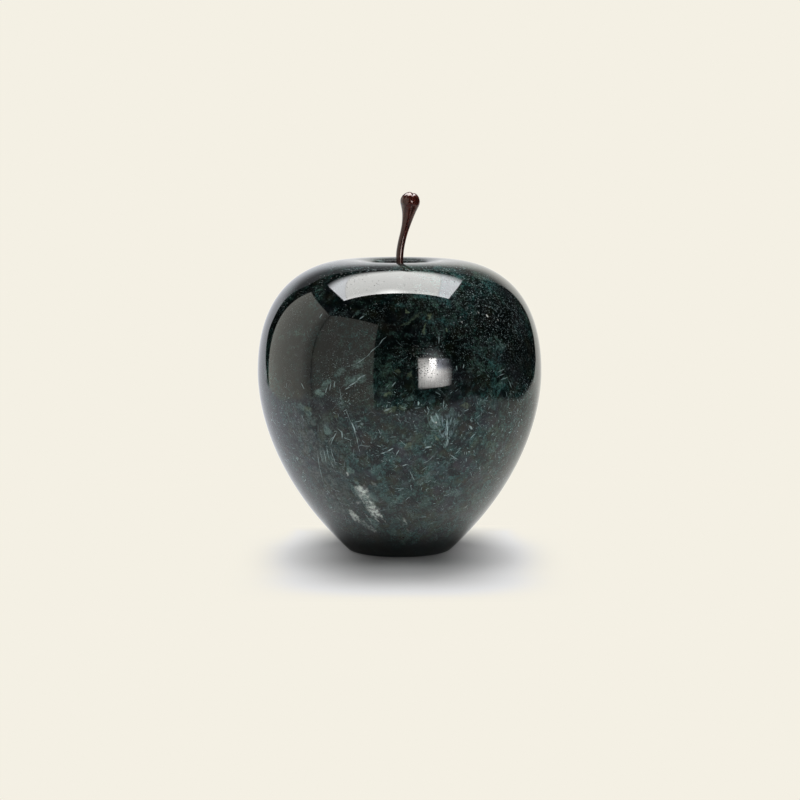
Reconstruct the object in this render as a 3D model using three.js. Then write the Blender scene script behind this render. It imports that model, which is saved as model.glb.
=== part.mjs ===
import * as THREE from 'three';

// A polished marble apple with a lacquered stalk glued into it.
// Millimetres, +Z up. The origin is the centre of the foot, on the surface that the apple stands on.

// The stone body, turned about the Z axis.
const bellyRadius = 40;
const bellyHeight = 50.9;
const footRadius = 13.4;
const footEdgeRound = 2.1;
const flankAngle = THREE.MathUtils.degToRad(43.2);
const crestRadius = 13.1;
const crestHeight = 82.3;
const lipRadius = 8.4;
const lipDrop = 0.76;
const lipAngle = THREE.MathUtils.degToRad(17.5);
const lipRound = 0.5;
const dimpleDepth = 9.1;
const dimpleWallAngle = THREE.MathUtils.degToRad(60);
const hollowRise = 2.2;
const dimpleFloorMargin = 0.4;

// Fullness of the body's curves: how long each one holds its direction at an end,
// as a share of its chord, rise or run.
const flankHoldAtFoot = 0.45;
const flankHoldAtBelly = 0.27;
const shoulderHoldAtBelly = 0.79;
const shoulderHoldAtCrest = 0.445;
const rollHold = 0.33;
const hollowHold = 0.6;

// The stalk: a straight peg in the stone, a slender shank that leans over, and a knobbly head.
const pegRadius = 1.5;
const pegDepth = 12;
const pegChamfer = 0.3;
const pegShow = 2;
const shankRadius = 1;
const shankTaper = 4.5;
const stalkStraight = 9.3;
const bendRise = 18.9;
const bendLean = 3.12;
const bendPullShare = 0.855;
const bendHoldLow = 0.306;
const bendHoldHigh = 0.49;
const headRadius = 2.78;
const headDome = 2.7;
const swellLength = 10.2;
const swellHoldLow = 0.67;
const swellHoldHigh = 0.13;
const headLobes = 6;
const lobeRise = 0.13;
const lobeRingBelowTop = 1.5;
const lobeSpread = 1.5;

// The adhesive: a cup round the peg, with a small collar squeezed out onto the dimple's floor.
const glueWall = 0.4;
const glueFloor = 1;
const glueCollarReach = 0.6;
const glueCollarEdge = 0.25;
const glueCollarRise = 1.1;
const drillPointAngle = THREE.MathUtils.degToRad(118);

// Room left between two fitted pieces.
const fitGap = 0.3;

// Facets: steps along a profile and sides round the axis.
const bodyFacet = 3.6;
const dimpleFacet = 1.7;
const stalkFacet = 1.15;
const headFacet = 0.6;
const bodySides = 72;
const stalkSides = 24;

// Sizes and heights that follow from the ones above.
const glueInnerRadius = pegRadius + fitGap;
const glueOuterRadius = glueInnerRadius + glueWall;
const socketRadius = glueOuterRadius + fitGap;
const glueCollarRadius = socketRadius + glueCollarReach;
const dimpleFloorRadius = glueCollarRadius + dimpleFloorMargin;
const dimpleFloorHeight = crestHeight - dimpleDepth;
const pegEndHeight = dimpleFloorHeight - pegDepth;
const socketBottomHeight = pegEndHeight - glueFloor;
const drillPointSlope = 1 / Math.tan(drillPointAngle / 2);
const drillPointHeight = socketBottomHeight - socketRadius * drillPointSlope;

// A point of a profile, as a radius and a height.
function at(radius, height) {
  return new THREE.Vector2(radius, height);
}

// The point that lies a given distance from another one, in the direction of an angle.
function beyond(point, angle, distance) {
  return at(point.x + Math.cos(angle) * distance, point.y + Math.sin(angle) * distance);
}

// A cubic curve through a profile's two ends and the two points that pull it.
function curve(start, pullStart, pullEnd, end) {
  return new THREE.CubicBezierCurve(start, pullStart, pullEnd, end);
}

// The points of a curve in steps of about one facet, without its first point.
function walk(line, facet) {
  const steps = Math.max(3, Math.ceil(line.getLength() / facet));
  return line.getSpacedPoints(steps).slice(1);
}

// A solid turned about Z from a profile that starts and ends on the axis.
function turned(profile, sides) {
  return new THREE.LatheGeometry(profile, sides).rotateX(Math.PI / 2);
}

// The body's profile: foot, flank, belly, shoulder, crest, the dimple with its lip, and the drilled socket.
function bodyProfile() {
  const footArc = new THREE.EllipseCurve(
    footRadius, footEdgeRound, footEdgeRound, footEdgeRound,
    -Math.PI / 2, -Math.PI / 2 + flankAngle, false,
  );
  const flankStart = footArc.getPoint(1);
  const belly = at(bellyRadius, bellyHeight);
  const crest = at(crestRadius, crestHeight);
  const floorEdge = at(dimpleFloorRadius, dimpleFloorHeight);

  const flank = curve(
    flankStart,
    beyond(flankStart, flankAngle, flankHoldAtFoot * flankStart.distanceTo(belly)),
    at(bellyRadius, bellyHeight - flankHoldAtBelly * (bellyHeight - flankStart.y)),
    belly,
  );
  const shoulder = curve(
    belly,
    at(bellyRadius, bellyHeight + shoulderHoldAtBelly * (crestHeight - bellyHeight)),
    at(crestRadius + shoulderHoldAtCrest * (bellyRadius - crestRadius), crestHeight),
    crest,
  );

  const lip = at(lipRadius, crestHeight - lipDrop);
  const rollReach = rollHold * (crestRadius - lipRadius);
  const roll = curve(
    crest,
    at(crestRadius - rollReach, crestHeight),
    beyond(lip, lipAngle, rollReach),
    lip,
  );
  const lipCentre = beyond(lip, lipAngle + Math.PI / 2, -lipRound);
  const lipArc = new THREE.EllipseCurve(
    lipCentre.x, lipCentre.y, lipRound, lipRound,
    lipAngle + Math.PI / 2, dimpleWallAngle + Math.PI / 2, false,
  );
  const wallTop = lipArc.getPoint(1);
  const wallDrop = wallTop.y - dimpleFloorHeight - hollowRise;
  const wallFoot = beyond(wallTop, dimpleWallAngle, -wallDrop / Math.sin(dimpleWallAngle));
  const hollow = curve(
    wallFoot,
    beyond(wallFoot, dimpleWallAngle, -hollowHold * hollowRise),
    at(dimpleFloorRadius + hollowHold * (wallFoot.x - dimpleFloorRadius), dimpleFloorHeight),
    floorEdge,
  );

  return [
    at(0, 0),
    at(footRadius, 0),
    ...walk(footArc, bodyFacet),
    ...walk(flank, bodyFacet),
    ...walk(shoulder, bodyFacet),
    ...walk(roll, dimpleFacet),
    ...walk(lipArc, dimpleFacet),
    ...walk(hollow, dimpleFacet),
    at(socketRadius, dimpleFloorHeight),
    at(socketRadius, socketBottomHeight),
    at(0, drillPointHeight),
  ];
}

// The adhesive's profile: it follows the drilled hole outside and the peg inside.
function glueProfile() {
  const underHeight = drillPointHeight + fitGap / Math.sin(drillPointAngle / 2);
  const collarFoot = at(glueCollarRadius, dimpleFloorHeight);
  const collarEdge = at(glueCollarRadius, dimpleFloorHeight + glueCollarEdge);
  const collarTop = at(glueInnerRadius, dimpleFloorHeight + glueCollarRise);
  const meniscus = new THREE.QuadraticBezierCurve(
    collarEdge,
    at(glueInnerRadius + fitGap, dimpleFloorHeight + glueCollarEdge),
    collarTop,
  );
  return [
    at(0, underHeight),
    at(glueOuterRadius, underHeight + glueOuterRadius * drillPointSlope),
    at(glueOuterRadius, dimpleFloorHeight),
    collarFoot,
    collarEdge,
    ...walk(meniscus, headFacet),
    at(glueInnerRadius, pegEndHeight),
    at(0, pegEndHeight),
  ];
}

// The stalk's centre line: straight up out of the stone, then one slow S to the side.
function stalkCentreLine() {
  const bendHeight = dimpleFloorHeight + stalkStraight;
  const topHeight = bendHeight + bendRise;
  const line = new THREE.CurvePath();
  line.add(new THREE.LineCurve3(
    new THREE.Vector3(0, 0, pegEndHeight),
    new THREE.Vector3(0, 0, bendHeight),
  ));
  line.add(new THREE.CubicBezierCurve3(
    new THREE.Vector3(0, 0, bendHeight),
    new THREE.Vector3(0, 0, bendHeight + bendHoldLow * bendRise),
    new THREE.Vector3(bendPullShare * bendLean, 0, topHeight - bendHoldHigh * bendRise),
    new THREE.Vector3(bendLean, 0, topHeight),
  ));
  return line;
}

// The stalk's profile while it is still straight, measured along it from the peg's end.
function stalkProfile(length) {
  const taperStart = pegDepth + pegShow;
  const taperEnd = taperStart + shankTaper;
  const headHeight = length - headDome;
  const swellStart = headHeight - swellLength;
  const taper = curve(
    at(pegRadius, taperStart),
    at(pegRadius, taperStart + shankTaper / 2),
    at(shankRadius, taperEnd - shankTaper / 2),
    at(shankRadius, taperEnd),
  );
  const shank = new THREE.LineCurve(at(shankRadius, taperEnd), at(shankRadius, swellStart));
  const swell = curve(
    at(shankRadius, swellStart),
    at(shankRadius, swellStart + swellHoldLow * swellLength),
    at(headRadius, headHeight - swellHoldHigh * swellLength),
    at(headRadius, headHeight),
  );
  const dome = new THREE.EllipseCurve(0, headHeight, headRadius, headDome, 0, Math.PI / 2, false);
  const domePoints = walk(dome, headFacet);
  domePoints.pop();
  return [
    at(0, 0),
    at(pegRadius - pegChamfer, 0),
    at(pegRadius, pegChamfer),
    at(pegRadius, taperStart),
    ...walk(taper, stalkFacet),
    ...walk(shank, stalkFacet),
    ...walk(swell, stalkFacet),
    ...domePoints,
    at(0, length),
  ];
}

// Raises a ring of low lobes round the head, strongest a little below its top.
function addLobes(geometry, length) {
  const ringHeight = length - lobeRingBelowTop;
  const place = geometry.attributes.position;
  for (let i = 0; i < place.count; i += 1) {
    const offset = (place.getZ(i) - ringHeight) / lobeSpread;
    if (Math.abs(offset) < 1) {
      const turn = Math.atan2(place.getY(i), place.getX(i));
      const height = lobeRise * (1 + Math.cos(Math.PI * offset)) / 2;
      const grow = 1 + height * Math.cos(headLobes * turn) / headRadius;
      place.setX(i, place.getX(i) * grow);
      place.setY(i, place.getY(i) * grow);
    }
  }
}

// Bends a straight turned solid so that its axis follows a line in the XZ plane.
function bendAlong(geometry, line) {
  const length = line.getLength();
  const place = geometry.attributes.position;
  for (let i = 0; i < place.count; i += 1) {
    const share = THREE.MathUtils.clamp(place.getZ(i) / length, 0, 1);
    const centre = line.getPoint(share);
    const along = line.getTangent(share);
    const sideways = place.getX(i);
    place.setXYZ(i, centre.x + along.z * sideways, place.getY(i), centre.z - along.x * sideways);
  }
}

// The stalk: turned straight, given its knobbly head, then bent.
function stalkGeometry() {
  const line = stalkCentreLine();
  const length = line.getLength();
  const geometry = turned(stalkProfile(length), stalkSides);
  addLobes(geometry, length);
  bendAlong(geometry, line);
  geometry.computeVertexNormals();
  return geometry;
}

// One named solid with its own finish.
function piece(name, geometry, finish) {
  const mesh = new THREE.Mesh(geometry, new THREE.MeshStandardMaterial(finish));
  mesh.name = name;
  return mesh;
}

const polishedMarble = { color: 0x1b2a29, roughness: 0.08, metalness: 0 };
const brownLacquer = { color: 0x3b1b17, roughness: 0.18, metalness: 0 };
const curedAdhesive = { color: 0x2a2420, roughness: 0.3, metalness: 0 };

const marbleApple = new THREE.Group();
marbleApple.add(
  piece('marble_apple', turned(bodyProfile(), bodySides), polishedMarble),
  piece('stem', stalkGeometry(), brownLacquer),
  piece('stem_adhesive', turned(glueProfile(), stalkSides), curedAdhesive),
);

export default marbleApple;
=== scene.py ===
# %% [markdown]
# A marble apple, dressed for its portrait
#
# The real object is an apple turned from one piece of very dark green marble and polished to a gloss,
# with a slender lacquered stalk glued into a drilled hole. Its shape is simple, so nearly all of its
# looks come from two things: what lies inside the stone, and what the polish reflects. This lesson
# builds the studio first, then the stone, then the stalk and the glue round it.

# %% Load the measured model
import math

import bpy
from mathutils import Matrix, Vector, noise


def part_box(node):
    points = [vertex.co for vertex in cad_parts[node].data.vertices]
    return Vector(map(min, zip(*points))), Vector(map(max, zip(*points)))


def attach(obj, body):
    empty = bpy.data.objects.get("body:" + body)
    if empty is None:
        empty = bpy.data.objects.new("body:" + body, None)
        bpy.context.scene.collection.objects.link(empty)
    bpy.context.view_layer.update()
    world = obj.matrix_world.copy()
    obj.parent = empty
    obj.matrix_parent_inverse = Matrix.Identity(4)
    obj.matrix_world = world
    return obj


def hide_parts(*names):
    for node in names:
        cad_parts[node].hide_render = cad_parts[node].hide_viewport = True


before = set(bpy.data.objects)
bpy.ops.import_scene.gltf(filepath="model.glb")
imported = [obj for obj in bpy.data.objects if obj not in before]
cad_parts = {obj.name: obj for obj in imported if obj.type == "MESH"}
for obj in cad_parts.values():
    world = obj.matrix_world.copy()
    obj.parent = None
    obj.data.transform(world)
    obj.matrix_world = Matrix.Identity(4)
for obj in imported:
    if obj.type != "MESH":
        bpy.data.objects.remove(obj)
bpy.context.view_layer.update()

MM = 0.001
apple_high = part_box("marble_apple")[1]
stalk_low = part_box("stem")[0]

# %% [markdown]
# The camera
#
# The photograph was taken with a long lens, a little above the apple's shoulder and looking slightly
# down: the dimple's mouth shows as a thin lens, and the foot's curve shows as a shallow arc. Those two
# curves fix the height and the pitch, and the belly's width fixes the focal length.

# %% Place the camera
camera_distance = 740 * MM
camera_height = 131.3 * MM
camera_aside = 0.1 * MM
camera_pitch = math.radians(6.83)
lens_mm = 118.6
sensor_mm = 36.0

camera_data = bpy.data.cameras.new("portrait_camera")
camera_data.sensor_width = sensor_mm
camera_data.lens = lens_mm
camera_data.clip_start = 0.05
camera_data.clip_end = 10.0
camera = bpy.data.objects.new("portrait_camera", camera_data)
camera.location = (camera_aside, -camera_distance, camera_height)
camera.rotation_euler = (math.radians(90) - camera_pitch, 0, 0)
bpy.context.scene.collection.objects.link(camera)
bpy.context.scene.camera = camera
bpy.context.scene.view_settings.view_transform = "Standard"
print("camera stands", round(camera_distance / MM), "mm away")

# %% [markdown]
# Recipes for materials
#
# Every finish here is made of nodes that work on the point's place in the solid, in millimetres, the
# way real stone carries its pattern right through. A small helper keeps each recipe readable: it makes
# a node, plugs in numbers or other nodes, and hands back the result.

# %% A helper for node recipes
class Recipe:
    """A material's node tree, with short calls for the nodes that the finishes need."""

    def __init__(self, name, shader="ShaderNodeBsdfPrincipled"):
        self.material = bpy.data.materials.new(name)
        self.material.use_nodes = True
        self.tree = self.material.node_tree
        self.tree.nodes.clear()
        self.output = self.tree.nodes.new("ShaderNodeOutputMaterial")
        self.shader = self.tree.nodes.new(shader)
        self.tree.links.new(self.shader.outputs[0], self.output.inputs["Surface"])

    def put(self, socket, value):
        """Plugs a node's result, a number or a colour into a socket."""
        if isinstance(value, bpy.types.NodeSocket):
            self.tree.links.new(value, socket)
        else:
            socket.default_value = value

    def make(self, kind, inputs, **settings):
        """A node of that kind, with its inputs by name or number and its settings."""
        node = self.tree.nodes.new(kind)
        for key, value in settings.items():
            setattr(node, key, value)
        for key, value in inputs.items():
            self.put(node.inputs[key], value)
        return node

    def set(self, name, value):
        """Gives the shader's socket of that name a node's result, a number or a colour."""
        self.put(self.shader.inputs[name], value)

    def lay(self, amount, colour):
        """Lays one more colour over the recipe's own, by an amount from 0 to 1."""
        self.colour = self.tint(amount, self.colour, colour)

    def bump(self, heights, strength, depth):
        """Makes the skin look uneven by a pattern of heights, down to a depth in metres."""
        inputs = {"Height": heights, "Strength": strength, "Distance": depth}
        self.set("Normal", self.make("ShaderNodeBump", inputs).outputs[0])

    def sum(self, operation, first, second=0.0):
        """One step of arithmetic on numbers."""
        return self.make("ShaderNodeMath", {0: first, 1: second}, operation=operation).outputs[0]

    def scaled(self, value, factor, start=0.0):
        """The start value plus the factor times the value."""
        inputs = {0: value, 1: factor, 2: start}
        return self.make("ShaderNodeMath", inputs, operation="MULTIPLY_ADD").outputs[0]

    def rest_of(self, share):
        """What a share leaves of 1."""
        return self.scaled(share, -1.0, 1.0)

    def product(self, first, *others):
        """All the numbers multiplied together."""
        for other in others:
            first = self.sum("MULTIPLY", first, other)
        return first

    def strongest(self, first, *others):
        """The largest of the numbers."""
        for other in others:
            first = self.sum("MAXIMUM", first, other)
        return first

    def move(self, operation, first, second=(0.0, 0.0, 0.0)):
        """One step of arithmetic on places."""
        return self.make("ShaderNodeVectorMath", {0: first, 1: second}, operation=operation).outputs[0]

    def stretch(self, place, factor):
        """A place scaled by one number."""
        node = self.make("ShaderNodeVectorMath", {0: place, "Scale": factor}, operation="SCALE")
        return node.outputs[0]

    def length(self, place):
        """How far a place is from the origin."""
        node = self.make("ShaderNodeVectorMath", {0: place}, operation="LENGTH")
        return node.outputs["Value"]

    def distance(self, place, other):
        """How far one place is from another."""
        return self.length(self.move("SUBTRACT", place, other))

    def along(self, place, direction):
        """How far a place lies along a direction."""
        node = self.make("ShaderNodeVectorMath", {0: place, 1: direction}, operation="DOT_PRODUCT")
        return node.outputs["Value"]

    def joined(self, x, y, z=0.0):
        """Three numbers as one place."""
        return self.make("ShaderNodeCombineXYZ", {0: x, 1: y, 2: z}).outputs[0]

    def parts(self, place):
        """The three numbers of a place."""
        return self.make("ShaderNodeSeparateXYZ", {0: place}).outputs

    def fade(self, value, start, end):
        """0 at the start value, 1 at the end value, and smooth between them."""
        inputs = {"Value": value, "From Min": start, "From Max": end}
        node = self.make("ShaderNodeMapRange", inputs, interpolation_type="SMOOTHSTEP")
        return node.outputs[0]

    def clouds(self, place, size, detail=2.0, rough=0.5):
        """Soft noise from 0 to 1 with features of about that many millimetres."""
        inputs = {"Vector": place, "Scale": 1 / size, "Detail": detail, "Roughness": rough}
        return self.make("ShaderNodeTexNoise", inputs).outputs[0]

    def drift(self, place, size, reach):
        """The same place pushed about by soft noise, by up to half the reach each way."""
        node = self.make("ShaderNodeTexNoise", {"Vector": place, "Scale": 1 / size, "Detail": 2.0})
        push = self.move("SUBTRACT", node.outputs["Color"], (0.5, 0.5, 0.5))
        return self.move("ADD", place, self.stretch(push, reach))

    def nearest(self, place, size):
        """The nearest of many scattered points: where it is, and three random numbers for it."""
        node = self.make("ShaderNodeTexVoronoi", {"Vector": place, "Scale": 1 / size})
        return node.outputs["Position"], node.outputs["Color"]

    def tint(self, amount, under, over):
        """One colour laid over another by an amount from 0 to 1."""
        inputs = {0: amount, 6: under, 7: over}
        return self.make("ShaderNodeMix", inputs, data_type="RGBA").outputs[2]

    def metres(self):
        """The point's place on the object, in metres."""
        return self.make("ShaderNodeTexCoord", {}).outputs["Object"]

    def millimetres(self):
        """The same place in millimetres."""
        return self.stretch(self.metres(), 1 / MM)


def rgb(red, green, blue):
    """A colour with its opacity."""
    return (red, green, blue, 1.0)


print("recipe helper ready")

# %% [markdown]
# The background
#
# The picture's ground is an even cream. The world shows that cream to the camera alone. Rays that light
# the scene see a dim room and the polish sees a dark one, so nothing in the stone is washed out.

# %% World
cream = rgb(0.905, 0.871, 0.776)
room_fill = rgb(0.10, 0.10, 0.10)
room_dark = rgb(0.006, 0.007, 0.007)

world = bpy.data.worlds.new("studio")
bpy.context.scene.world = world
world.use_nodes = True
world_nodes = world.node_tree.nodes
world_links = world.node_tree.links
sky = world_nodes["Background"]
ray = world_nodes.new("ShaderNodeLightPath")
polish_or_fill = world_nodes.new("ShaderNodeMix")
polish_or_fill.data_type = "RGBA"
polish_or_fill.inputs[6].default_value = room_fill
polish_or_fill.inputs[7].default_value = room_dark
seen_or_not = world_nodes.new("ShaderNodeMix")
seen_or_not.data_type = "RGBA"
seen_or_not.inputs[7].default_value = cream
world_links.new(ray.outputs["Is Glossy Ray"], polish_or_fill.inputs[0])
world_links.new(polish_or_fill.outputs[2], seen_or_not.inputs[6])
world_links.new(ray.outputs["Is Camera Ray"], seen_or_not.inputs[0])
world_links.new(seen_or_not.outputs[2], sky.inputs["Color"])
print("world shows the camera", [round(part, 2) for part in cream[:3]])

# %% [markdown]
# The table's recipe
#
# Three kinds of ray meet the table. Rays that carry light see matt paint, which takes the real shadow.
# The camera sees the same paint near the apple, and farther out a plain glow that goes from the shadow's
# neutral grey to the cream, so the shadow ends as softly as in the photograph and no edge of the table
# shows. The polish sees a white paper sheet, cool on the left and warm on the right, with soft edges
# where the reflections in the stone's lower half end.

# %% Where the shadow melts away
shadow_grey = rgb(0.872, 0.872, 0.872)
shadow_middle = (0.9 * MM, 9.0 * MM, 0.0)
shadow_aside = (6 * MM, 49 * MM)
shadow_aside_behind = (19 * MM, 37 * MM)
shadow_turn = (-10 * MM, 28 * MM)
shadow_soften = (-24 * MM, -50 * MM)
shadow_soften_share = 0.25
shadow_end = (-55 * MM, -90 * MM)
shadow_end_behind = (33 * MM, 20 * MM)

tabletop = Recipe("table_top", "ShaderNodeBsdfDiffuse")
on_table = tabletop.metres()
from_shadow = tabletop.move("SUBTRACT", on_table, shadow_middle)
ahead = tabletop.along(from_shadow, (0, 1, 0))
beside = tabletop.sum("ABSOLUTE", tabletop.along(from_shadow, (1, 0, 0)))
softened = tabletop.product(tabletop.fade(ahead, *shadow_soften), shadow_soften_share)
ended = tabletop.product(tabletop.fade(ahead, *shadow_end), 1.0 - shadow_soften_share)
kept_front = tabletop.rest_of(tabletop.sum("ADD", softened, ended))
behind = tabletop.fade(ahead, *shadow_turn)
gone_front = tabletop.product(tabletop.fade(beside, *shadow_aside), tabletop.rest_of(behind))
gone_behind = tabletop.product(tabletop.fade(beside, *shadow_aside_behind), behind)
kept_aside = tabletop.rest_of(tabletop.sum("ADD", gone_front, gone_behind))
kept_behind = tabletop.fade(ahead, *shadow_end_behind)
melt = tabletop.rest_of(tabletop.product(kept_front, kept_aside, kept_behind))
creamy = tabletop.strongest(tabletop.fade(melt, 0.62, 0.95), tabletop.fade(ahead, 18 * MM, 28 * MM))
ground_glow = tabletop.make("ShaderNodeEmission", {"Color": tabletop.tint(creamy, shadow_grey, cream)})
print("shadow melts between", shadow_aside[0] / MM, "and", shadow_aside[1] / MM, "mm beside its middle")

# %% The sheet that the polish sees
sheet_front = rgb(0.52, 0.52, 0.54)
cool_white = rgb(0.92, 0.94, 1.0)
warm_white = rgb(0.93, 0.92, 0.855)
sheet_edge = (-160 * MM, -125 * MM)
sheet_side = (225 * MM, 180 * MM)
sheet_widens_from = 60 * MM
sheet_slant = 0.46
sheet_shade = 0.42

forward = tabletop.along(on_table, (0, 1, 0))
to_right = tabletop.along(on_table, (1, 0, 0))
past_apple = tabletop.strongest(tabletop.sum("SUBTRACT", forward, sheet_widens_from), 0.0)
widened = tabletop.product(past_apple, sheet_slant)
from_axis = tabletop.sum("SUBTRACT", tabletop.sum("ABSOLUTE", to_right), widened)
sheet = tabletop.product(tabletop.fade(forward, *sheet_edge), tabletop.fade(from_axis, *sheet_side))
sheet_back = tabletop.tint(tabletop.fade(to_right, -100 * MM, 100 * MM), cool_white, warm_white)
sheet_colour = tabletop.tint(tabletop.fade(forward, -50 * MM, -5 * MM), sheet_front, sheet_back)
shade_right = tabletop.fade(to_right, -20 * MM, 180 * MM)
shade_front = tabletop.fade(forward, 300 * MM, 80 * MM)
shade = tabletop.product(shade_right, shade_front, sheet_shade)
sheet_colour = tabletop.tint(shade, sheet_colour, rgb(0.0, 0.0, 0.0))
sheet_glow = tabletop.make("ShaderNodeEmission", {"Color": sheet_colour})
print("sheet ends", round(-sheet_edge[0] / MM), "mm before the apple")

# %% What each ray sees
table_paint = rgb(0.70, 0.70, 0.70)
table_paint_back = rgb(0.70, 0.68, 0.62)
foot_shade = (16.5 * MM, 32 * MM)
table_fades = (130 * MM, 170 * MM)


def either(amount, first, second):
    """A mix of two shaders: the second one by the amount."""
    inputs = {0: amount, 1: first.outputs[0], 2: second.outputs[0]}
    return tabletop.make("ShaderNodeMixShader", inputs)


rays = tabletop.make("ShaderNodeLightPath", {}).outputs
by_polish = rays["Is Glossy Ray"]
by_camera = rays["Is Camera Ray"]
tabletop.set("Color", tabletop.tint(behind, table_paint, table_paint_back))
off_foot = tabletop.fade(tabletop.length(on_table), *foot_shade)
paint_or_sheet = either(tabletop.product(off_foot, by_polish), tabletop.shader, sheet_glow)
melted = either(tabletop.product(melt, by_camera), paint_or_sheet, ground_glow)
past_sheet = tabletop.product(tabletop.rest_of(sheet), by_polish)
far_off = tabletop.product(tabletop.fade(tabletop.length(from_shadow), *table_fades), by_camera)
clear = tabletop.make("ShaderNodeBsdfTransparent", {})
table_mix = either(tabletop.strongest(far_off, past_sheet), melted, clear)
tabletop.put(tabletop.output.inputs["Surface"], table_mix.outputs[0])
print("table recipe uses", len(tabletop.tree.nodes), "nodes")


# %% Table top
def flat_mesh(name, corners):
    """A flat face through the given corners."""
    mesh = bpy.data.meshes.new(name)
    mesh.from_pydata(corners, [], [range(len(corners))])
    made = bpy.data.objects.new(name, mesh)
    bpy.context.scene.collection.objects.link(made)
    return made


table_side = 600 * MM
table_front = -600 * MM
table_back = 520 * MM
table = flat_mesh("table_top", [
    (-table_side, table_front, 0.0), (table_side, table_front, 0.0),
    (table_side, table_back, 0.0), (-table_side, table_back, 0.0),
])
table.data.materials.append(tabletop.material)
print("table", round(2 * table_side / MM), "mm wide")

# %% [markdown]
# Lamps and what the polish sees
#
# Reading the reflections backwards gives the studio: a large softbox overhead and a little behind, two
# upright panels to the left, a small square softbox to the right of the camera, and a white sweep
# behind. Each lamp lights the scene at a plain level and is hidden from the polish. In its place hangs
# a card that only the polish sees, so the brightness of a highlight can be set by itself.

# %% Lamps
def lamp(name, place, aim, size, watts):
    """A soft rectangular lamp that the camera and the polish don't see."""
    data = bpy.data.lights.new(name, "AREA")
    data.shape = "RECTANGLE"
    data.size, data.size_y = size
    data.energy = watts
    made = bpy.data.objects.new(name, data)
    made.location = place
    made.rotation_mode = "QUATERNION"
    made.rotation_quaternion = (Vector(place) - Vector(aim)).to_track_quat("Z", "Y")
    made.visible_camera = False
    made.visible_glossy = False
    bpy.context.scene.collection.objects.link(made)


softbox_height = 900 * MM
softbox_middle = Vector((0, 340 * MM, softbox_height))
softbox_size = (400 * MM, 760 * MM)
softbox_watts = 12.0
lamp("overhead_softbox", softbox_middle, softbox_middle - Vector((0, 0, 1)), softbox_size, softbox_watts)

belly_centre = Vector((0, 0, 54 * MM))
square_turn = math.radians(28)
square_distance = 900 * MM
square_toward = Vector((math.sin(square_turn), -math.cos(square_turn), 0))
square_aside = Vector((math.cos(square_turn), math.sin(square_turn), 0))
square_middle = square_toward * square_distance + Vector((0, 0, 80 * MM))
square_size = (440 * MM, 300 * MM)
square_watts = 2.1
lamp("square_softbox", square_middle, belly_centre, square_size, square_watts)
print("lamps:", softbox_watts, "W overhead and", square_watts, "W at the side")


# %% [markdown]
# Cards for the polish
#
# A card is a bright sheet that only glossy rays meet. The overhead one has a middle cloth and two side
# flaps with a bluish cast, and its back edge bows like the rim of a deep softbox. Its front edge is the
# brightest part, because the bulb sits there. The numbers are levels of light, 1 being a white sheet.

# %% Overhead card
def card(name, corners, glow):
    """A bright sheet that only the polish sees."""
    made = flat_mesh(name, corners)
    made.data.materials.append(glow.material)
    made.visible_camera = False
    made.visible_shadow = False
    made.visible_diffuse = False


def softbox_glow():
    """An even glow with a hot front edge, a soft back edge and bluish side flaps."""
    recipe = Recipe("softbox_glow", "ShaderNodeEmission")
    place = recipe.metres()
    forward = recipe.along(place, (0, 1, 0))
    base = recipe.scaled(recipe.fade(forward, softbox_back, softbox_front), 4.2, 5.6)
    from_bulb = recipe.distance(place, (-70 * MM, softbox_front, softbox_height))
    spot = recipe.product(recipe.fade(from_bulb, 160 * MM, 0.0), 8.0)
    edge = recipe.product(recipe.fade(forward, softbox_front + 100 * MM, softbox_front), 2.5)
    level = recipe.sum("ADD", base, recipe.sum("ADD", spot, edge))
    sideways = recipe.sum("ABSOLUTE", recipe.along(place, (1, 0, 0)))
    to_rim = recipe.sum("ADD", forward, recipe.product(sideways, 0.8))
    level = recipe.product(level, recipe.fade(to_rim, 1030 * MM, 740 * MM))
    past_left = recipe.sum("SUBTRACT", recipe.along(place, (-1, 0.325, 0)), 485 * MM)
    past_right = recipe.sum("SUBTRACT", recipe.along(place, (1, 0.15, 0)), 319 * MM)
    past_seam = recipe.strongest(past_left, past_right)
    flap = recipe.fade(past_seam, -4 * MM, 4 * MM)
    off_seam = recipe.fade(recipe.sum("ABSOLUTE", past_seam), 0.0, 14 * MM)
    recipe.set("Strength", recipe.product(level, recipe.scaled(off_seam, 0.16, 0.84)))
    recipe.set("Color", recipe.tint(flap, rgb(1.0, 1.0, 0.97), rgb(0.95, 0.97, 1.0)))
    return recipe


softbox_front = -66 * MM
softbox_back = 870 * MM
softbox_rim = [
    (-544, -66), (-250, -66), (0, -69), (250, -62), (454, -65), (436, 200), (413, 474), (400, 640),
    (340, 740), (240, 850), (120, 980), (0, 1080), (-120, 990), (-240, 870), (-330, 770), (-420, 700),
    (-512, 650), (-530, 450),
]
card("softbox_sheet", [(x * MM, y * MM, softbox_height) for x, y in softbox_rim], softbox_glow())
print("overhead card has", len(softbox_rim), "corners")


# %% [markdown]
# The square light
#
# The square light glows most in its middle, has a very bright bulb high up and a shaded corner beside
# it. Its cloth shows fine upright streaks. A second card just behind it carries the faint haze that
# lies round the highlight. Places on both are read across and up, from the compass turn they face.

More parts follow.
